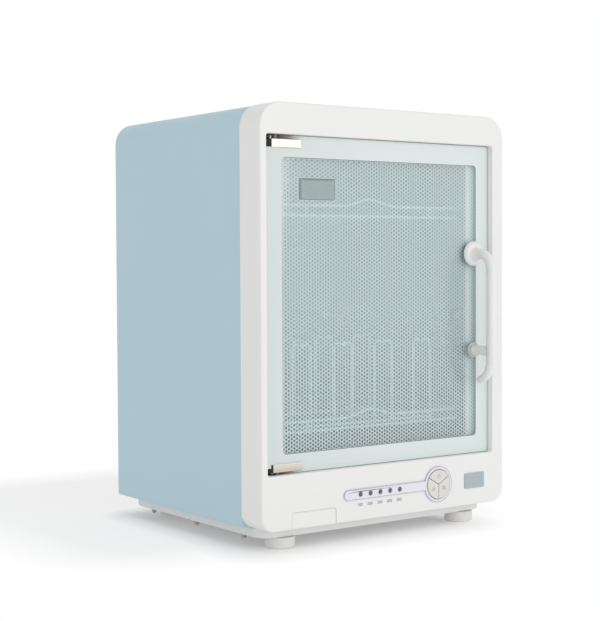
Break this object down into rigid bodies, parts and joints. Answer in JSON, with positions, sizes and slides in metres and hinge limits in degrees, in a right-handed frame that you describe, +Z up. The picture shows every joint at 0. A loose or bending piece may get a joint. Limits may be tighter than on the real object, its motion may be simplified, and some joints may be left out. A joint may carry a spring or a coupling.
{
  "type": "bottle sterilizer",
  "caption": "Upright countertop cabinet with a recessed glass door on a vertical hinge, bowed handle, wire racks with bottle pegs, tube lamp, drying fan, round key pad and pull-out drip tray.",
  "frame": {"origin": "on the floor under the middle of the object's bounding box", "axes": "+Z up, -Y out of the front where the door is, +X to the viewer's right"},
  "size_m": [0.34, 0.3312, 0.465],
  "materials": {
    "white_plastic": "satin white",
    "blue_plastic": "satin pale blue",
    "plinth_grey": "matt light grey",
    "foot_grey": "matt warm grey",
    "bright_steel": "bright",
    "zinc_steel": "zinc plated",
    "chrome": "polished",
    "mint_glass": "toughened, with a printed dot screen",
    "clear_mint": "clear",
    "post_grey": "satin",
    "seal_rubber": "matt",
    "lavender": "printed film",
    "key_cream": "satin",
    "lens_violet": "clear dark",
    "badge_blue": "bare plate",
    "board_green": "lacquered board",
    "black_plastic": "moulded",
    "lamp_glass": "quartz tube",
    "aluminium": "satin",
    "brass": "turned"
  },
  "bodies": {
    "case": {"back_panel": "zinc_steel", "badge_plate": "badge_blue", "ballast_box": "aluminium", "base_plinth": "plinth_grey", "catch_magnet": "black_plastic", "control_bezel": "lavender", "control_board": "board_green", "door_seal": "seal_rubber", "drain_pipe": "black_plastic", "fan_housing": "black_plastic", "fan_stator": "zinc_steel", "foot_front_left": "foot_grey", "foot_front_right": "foot_grey", "foot_rear_left": "foot_grey", "foot_rear_right": "foot_grey", "front_frame": "white_plastic", "heater_block": "aluminium", "hinge_bush_lower": "brass", "hinge_bush_upper": "brass", "indicator_lens_bar": "lens_violet", "inner_chamber": "bright_steel", "lamp_cap_left": "aluminium", "lamp_cap_right": "aluminium", "lamp_guard": "zinc_steel", "lamp_holder_left": "white_plastic", "lamp_holder_right": "white_plastic", "lamp_reflector": "bright_steel", "lower_runner_left": "bright_steel", "lower_runner_right": "bright_steel", "mains_inlet": "black_plastic", "outer_shell": "blue_plastic", "power_board": "board_green", "tray_guide": "plinth_grey", "upper_runner_left": "bright_steel", "upper_runner_right": "bright_steel", "uv_lamp": "lamp_glass"},
    "door": {"door_glass": "mint_glass", "handle_bar": "white_plastic", "handle_post": "post_grey", "handle_rosette": "white_plastic", "handle_screw_lower": "zinc_steel", "handle_screw_upper": "zinc_steel", "handle_washer": "clear_mint", "hinge_clip_lower": "chrome", "hinge_clip_upper": "chrome", "hinge_pin_lower": "zinc_steel", "hinge_pin_upper": "zinc_steel", "strike_plate": "zinc_steel"},
    "tray": {"drip_tray": "white_plastic", "tray_front": "white_plastic"},
    "power_key": {"power_key": "key_cream"},
    "lamp_key": {"lamp_key": "key_cream"},
    "dry_key": {"dry_key": "key_cream"},
    "upper_rack": {"upper_rack": "chrome", "upper_rack_fence": "chrome"},
    "lower_rack": {"lower_rack": "chrome", "lower_rack_fence": "chrome", "peg_row_back": "chrome", "peg_row_front": "chrome"},
    "fan": {"fan_rotor": "black_plastic"}
  },
  "joints": [
    {"name": "door_hinge", "type": "hinge", "parent": "case", "child": "door", "pos_m": [-0.15, -0.1269, 0.2562], "axis": [0, 0, -1], "range_deg": [0, 105]},
    {"name": "tray_slide", "type": "slide", "parent": "case", "child": "tray", "axis": [0, -1, 0], "range_m": [0, 0.125]},
    {"name": "power_key_press", "type": "slide", "parent": "case", "child": "power_key", "axis": [0, 1, 0], "range_m": [0, 0.0012], "stiffness_N_per_m": 1200},
    {"name": "lamp_key_press", "type": "slide", "parent": "case", "child": "lamp_key", "axis": [0, 1, 0], "range_m": [0, 0.0012], "stiffness_N_per_m": 1200},
    {"name": "dry_key_press", "type": "slide", "parent": "case", "child": "dry_key", "axis": [0, 1, 0], "range_m": [0, 0.0012], "stiffness_N_per_m": 1200},
    {"name": "upper_rack_slide", "type": "slide", "parent": "case", "child": "upper_rack", "axis": [0, -1, 0], "range_m": [0, 0.011]},
    {"name": "lower_rack_slide", "type": "slide", "parent": "case", "child": "lower_rack", "axis": [0, -1, 0], "range_m": [0, 0.011]},
    {"name": "fan_spin", "type": "hinge", "parent": "case", "child": "fan", "pos_m": [0, 0.1245, 0.272], "axis": [0, 1, 0], "continuous": true}
  ]
}
